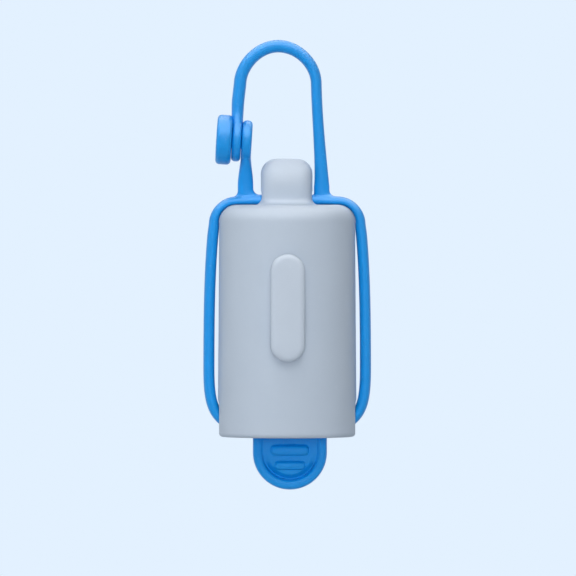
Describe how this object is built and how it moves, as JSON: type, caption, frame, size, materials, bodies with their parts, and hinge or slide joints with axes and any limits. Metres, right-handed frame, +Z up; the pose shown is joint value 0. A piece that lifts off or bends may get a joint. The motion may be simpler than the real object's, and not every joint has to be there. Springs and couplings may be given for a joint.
{
  "type": "dog waste bag dispenser",
  "caption": "Soft cylindrical sleeve for a roll of dog waste bags in an elastic harness with a buttoned hanging loop, side rails and a pull tab that opens the bottom.",
  "frame": {"origin": "the axis of an 8 mm leash lying in the bend of the hanging loop, on the sleeve's own axis", "axes": "+Z up along the sleeve's axis as it hangs, the front with the cleat faces -Y, the button is on the -X side"},
  "size_m": [0.0494, 0.0447, 0.1322],
  "materials": {
    "grey_silicone": "soft satin silicone",
    "blue_silicone": "soft satin silicone",
    "bag_film": "thin crinkled polythene",
    "card": "raw wound card"
  },
  "bodies": {
    "strap": {"hang_strap": "blue_silicone", "strap_post": "blue_silicone", "post_button": "blue_silicone"},
    "eyelet": {"strap_eyelet": "blue_silicone"},
    "housing": {"housing": "grey_silicone", "hang_lug": "grey_silicone", "front_cleat": "grey_silicone", "yoke": "blue_silicone", "left_rail": "blue_silicone", "right_rail": "blue_silicone"},
    "plug": {"bottom_plug": "blue_silicone", "pull_tab": "blue_silicone"},
    "roll": {"roll_core": "card", "bag_roll": "bag_film"},
    "bag": {"leading_bag": "bag_film"}
  },
  "joints": [
    {"name": "loop_flex", "type": "hinge", "parent": "strap", "child": "housing", "pos_m": [0, 0, -0.0396], "axis": [1, 0, 0], "range_deg": [-45, 45], "stiffness_Nm_per_rad": 0.02, "deforming": ["yoke"]},
    {"name": "eyelet_release", "type": "slide", "parent": "strap", "child": "eyelet", "axis": [-0.9981, 0, 0.061], "range_m": [0, 0.0085], "deforming": ["strap_eyelet"]},
    {"name": "plug_pull", "type": "slide", "parent": "housing", "child": "plug", "axis": [0, 0, -1], "range_m": [0, 0.025], "stiffness_N_per_m": 600, "springref_m": -0.005, "deforming": ["left_rail", "right_rail"]},
    {"name": "roll_spin", "type": "hinge", "parent": "plug", "child": "roll", "pos_m": [0, 0, -0.0758], "axis": [0, 0, 1], "range_deg": [-216, 0]},
    {"name": "bag_pull", "type": "slide", "parent": "housing", "child": "bag", "axis": [1, 0, 0], "range_m": [0, 0.06]}
  ],
  "couplings": [
    {"joint": "bag_pull", "follows": "roll_spin", "m_per_rad": -0.01575}
  ]
}
